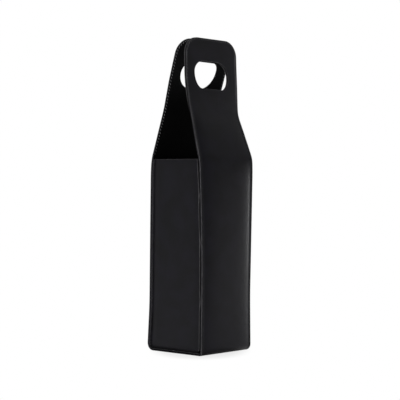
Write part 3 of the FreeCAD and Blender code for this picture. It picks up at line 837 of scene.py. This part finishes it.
def stitchRow(points, normals, slant, flapHighlight=0.0):
    # Copies the template to each point of a row, turned to the row's heading and then by the slant.
    template, quads, tips, place = stitchGrain()
    ahead = unit(np.gradient(points, axis=0))
    upright = unit(normals - ahead * np.sum(normals * ahead, axis=1, keepdims=True))
    beside = np.cross(upright, ahead)
    slant = math.radians(slant)
    lengthwise = ahead * math.cos(slant) + beside * math.sin(slant)
    sideways = np.cross(upright, lengthwise)
    axes = np.stack([lengthwise, sideways, upright], 1)
    made = points[:, None, :] + np.einsum("tk,nkx->ntx", template, axes)
    offset = (np.arange(len(points)) * len(template))[:, None, None]
    flat = np.tile(place, (len(points), 1))
    flat[:, 2] = np.repeat(np.broadcast_to(flapHighlight, len(points)), len(template))
    return {"points": made.reshape(-1, 3), "quads": (quads + offset).reshape(-1, 4),
            "tips": (tips + offset).reshape(-1, 3), "flat": flat}


def stitchPiece(name, row, thread):
    # a row of stitches as one piece, pressed flat under the base
    points = row["points"]
    points[:, 2] = np.maximum(points[:, 2], 0)
    solid = {"points": points, "faces": row["quads"].tolist() + row["tips"].tolist(), "flat": row["flat"],
             "edge": np.zeros(len(points))}
    return newPiece(name, solid, thread)


def stitchLine(half, firstWay):
    # Stitch line in the flat strip: up one edge, round the flap's corners and down the other edge, read
    # at equal steps along the real surface, with the surface's normals.
    inset = strip["stitchInset"]
    wide = halfWidth - inset
    radius = strip["tabRadius"] - inset
    straightCount, sweepCount = stitch["dense"]
    straight = np.linspace(firstWay, 4 - strip["tabRadius"] / strip["flap"], straightCount)
    sweep = np.linspace(0, math.pi / 2, sweepCount)
    rightAcross = np.hstack([np.full(len(straight), wide), wide - radius + radius * np.cos(sweep)])
    cornerWay = straight[-1] + radius * np.sin(sweep) / strip["flap"]
    upWay = np.hstack([straight, cornerWay])
    across = np.hstack([rightAcross, -rightAcross[::-1]])
    way = np.hstack([upWay, upWay[::-1]])
    dense = np.column_stack([across, way])
    run = runLength(stripPoints(half, across, way))
    count = int(run[-1] / stitch["pitch"])
    wanted = (np.arange(count) + 0.5) * run[-1] / count
    across, way = [np.interp(wanted, run, column) for column in dense.T]
    points = stripPoints(half, across, way)
    aside, onwards = stitch["probe"]
    sideStep = stripPoints(half, across + aside, way) - stripPoints(half, across - aside, way)
    upStep = stripPoints(half, across, way + onwards) - stripPoints(half, across, way - onwards)
    return points, unit(np.cross(sideStep, upStep))


def gussetStitchLine(side):
    # along the turned-out edge, down in its crease
    dense = gussetSheets[side]["crease"]
    count = int(runLength(dense)[-1] / stitch["pitch"])
    line = resample(dense, np.linspace(0, 1, count))[1:-1]
    heading = unit(np.gradient(line, axis=0))
    return line, np.column_stack([np.zeros(len(line)), -heading[:, 2], heading[:, 1]])


for side, half in halves.items():
    points, normals = stitchLine(half, stitch["firstWay"])
    # painted highlight on the outer rows above the fold
    flapHighlight = eased(points[:, 2], foldHeight, foldHeight + stitch["flapHighlight"])
    row = stitchRow(points, normals, stitch["slant"], flapHighlight)
    outside = stitchPiece(side + "_stitches", row, needleThread)
    points, normals = stitchLine(half, 3 + stitch["clear"] / strip["flap"])
    row = stitchRow(points - normals * half["flapWall"], -normals, stitch["slant"])
    inside = stitchPiece(side + "_inner_stitches", row, bobbinThread)
    bendAtFold(outside)
    bendAtFold(inside)
    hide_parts(side + "_flap_thread", "left_seam_thread", "right_seam_thread")
    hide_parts(side + "_flap_bobbin_thread")
for side in gussetSheets:
    row = stitchPiece(side + "_gusset_stitches", stitchRow(*gussetStitchLine(side), 0.0), needleThread)
    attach(row, "carrier_body")
    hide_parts(side + "_seam_bobbin_thread")
print("stitches made")


# Stage

# millimetres and degrees; the focal length is in pixels of a frame that many pixels wide
cameraSet = {"distance": 1863.6, "height": 225.35, "aside": -0.36, "azimuth": -45.0, "tilt": 1.148,
             "focal": 1490.5, "frame": 400, "sensor": 36.0}
azimuth = math.radians(cameraSet["azimuth"])


def makeCamera():
    # stands back from the corner between the front and the left side, tilted down a little
    data = bpy.data.cameras.new("camera")
    data.sensor_width = cameraSet["sensor"]
    data.lens = cameraSet["sensor"] * cameraSet["focal"] / cameraSet["frame"]
    camera = addObject("camera", data)
    right = np.array([math.cos(azimuth), math.sin(azimuth), 0])
    ahead = np.array([-math.sin(azimuth), math.cos(azimuth), 0])
    place = right * cameraSet["aside"] - ahead * cameraSet["distance"] + [0, 0, cameraSet["height"]]
    camera.location = place * mm
    camera.rotation_euler = (math.radians(90 - cameraSet["tilt"]), 0, azimuth)
    bpy.context.scene.camera = camera


def rayKinds(finish):
    # for each kind of ray, 1 on rays of that kind and 0 on others
    return {kind: finish.node("ShaderNodeLightPath", {}, {}, out="Is " + kind + " Ray")
            for kind in ("Camera", "Glossy", "Transmission")}


# metres and watts
lampAim = (0, 0, 0.19)
lamps = {
    "key": {"place": (-1.6, -0.8, 0.35), "size": (0.8, 0.8), "power": 23},
    "right_strip": {"place": (1.68, -0.30, 0.15), "size": (0.30, 0.60), "power": 4},
    "top": {"place": (-0.2, 0.2, 1.9), "size": (1.4, 1.4), "power": 8},
    "right_high": {"place": (1.13, -0.66, 1.12), "size": (0.9, 0.9), "power": 0.55},
}


def areaLight(name, place, size, power):
    # a rectangle of light that faces lampAim
    data = bpy.data.lights.new(name, "AREA")
    data.shape = "RECTANGLE"
    data.size, data.size_y = size
    data.energy = power
    lamp = addObject(name, data)
    away = np.subtract(place, lampAim)
    tilt = math.acos(away[2] / np.linalg.norm(away))
    lamp.location = place
    lamp.rotation_euler = (tilt, 0, math.atan2(away[1], away[0]) + math.pi / 2)


floorSet = {
    "half": 40.0, "colour": (0.86, 0.86, 0.86, 1),  # half its side in metres
    "lift": 0.75,  # share of plain white that the camera sees close to the object, where the shadow lies
    "oval": (1 / 1.3, 1 / 0.8, 1.0),  # it reaches less to the sides than to the front
    "shadow": (0.055, 0.088),  # the shadow fades out between these distances in metres
    "mirrored": 0.55,  # share of that white in reflections
    "near": (0.055, 0.080),  # none of it closer than this
    "far": (2.0, 4.5, 0.55),  # it falls to this share far away
}


def makeFloor():
    # a plane whose own shading shows only close to the object
    corners = np.array([[-1, -1, 0], [1, -1, 0], [1, 1, 0], [-1, 1, 0]], float) * floorSet["half"]
    mesh = bpy.data.meshes.new("floor")
    mesh.from_pydata(corners.tolist(), [], [[0, 1, 2, 3]])
    paint = Finish(bpy.data.materials.new("white floor"))
    rays = rayKinds(paint)
    place = paint.node("ShaderNodeTexCoord", {}, {}, out="Object")
    oval = paint.node("ShaderNodeMapping", {"vector_type": "TEXTURE"}, {
        "Vector": place, "Rotation": (0, 0, azimuth), "Scale": floorSet["oval"]})
    away = paint.node("ShaderNodeVectorMath", {"operation": "LENGTH"}, {0: oval}, out="Value")
    start, end, left = floorSet["far"]
    fade = 1 - (1 - left) * away.between(start, end)
    mirrored = floorSet["mirrored"] * away.between(*floorSet["near"]) * fade
    seen = rays["Camera"] + mirrored * (rays["Glossy"] + rays["Transmission"])
    white = floorSet["lift"] + (1 - floorSet["lift"]) * away.between(*floorSet["shadow"])
    matt = paint.node("ShaderNodeBsdfDiffuse", {}, {"Color": floorSet["colour"]})
    glow = paint.node("ShaderNodeEmission", {}, {"Color": (1, 1, 1, 1), "Strength": 1.0})
    mixed = paint.node("ShaderNodeMixShader", {}, {0: seen * white, 1: matt, 2: glow})
    mesh.materials.append(paint.done(mixed))
    floor = addObject("floor", mesh)


world = {
    "room": 0.22, "white": 1.0,  # light on the object, and the backdrop that the camera sees
    "high": (-0.06, 0.25, 0.10),  # mirrored backdrop: whole below the first, this share above the second
    "near": (-0.50, 0.60, 0.12),  # the same, from behind the object round to behind the camera
}


def makeWorld():
    # White to the camera and in reflections, which fade upwards and towards the dark end of the studio.
    studio = Finish(bpy.data.worlds.new("studio"))
    bpy.context.scene.world = studio.owner
    direction = studio.node("ShaderNodeTexCoord", {}, {}, out="Generated")
    rays = rayKinds(studio)
    towards = (math.sin(azimuth), -math.cos(azimuth), 0)
    height = studio.part(direction, 2)
    nearness = studio.node("ShaderNodeVectorMath", {"operation": "DOT_PRODUCT"},
                           {0: direction, 1: towards}, out="Value")
    shade = 1.0
    for measure, (full, faded, left) in ((height, world["high"]), (nearness, world["near"])):
        shade = shade * (1 - (1 - left) * measure.between(full, faded))
    mirrored = rays["Glossy"] + rays["Transmission"]
    room = studio.node("ShaderNodeBackground", {}, {"Color": (1, 1, 1, 1), "Strength": world["room"]})
    white = studio.node("ShaderNodeBackground", {}, {"Color": (1, 1, 1, 1), "Strength": world["white"]})
    share = rays["Camera"] + (1 - rays["Camera"]) * mirrored * shade
    mixed = studio.node("ShaderNodeMixShader", {}, {0: share, 1: room, 2: white})
    studio.done(mixed, "ShaderNodeOutputWorld")


makeCamera()
makeFloor()
makeWorld()
for name, lamp in lamps.items():
    areaLight(name, **lamp)

bpy.context.scene.view_settings.view_transform = "Standard"
print("scene ready")
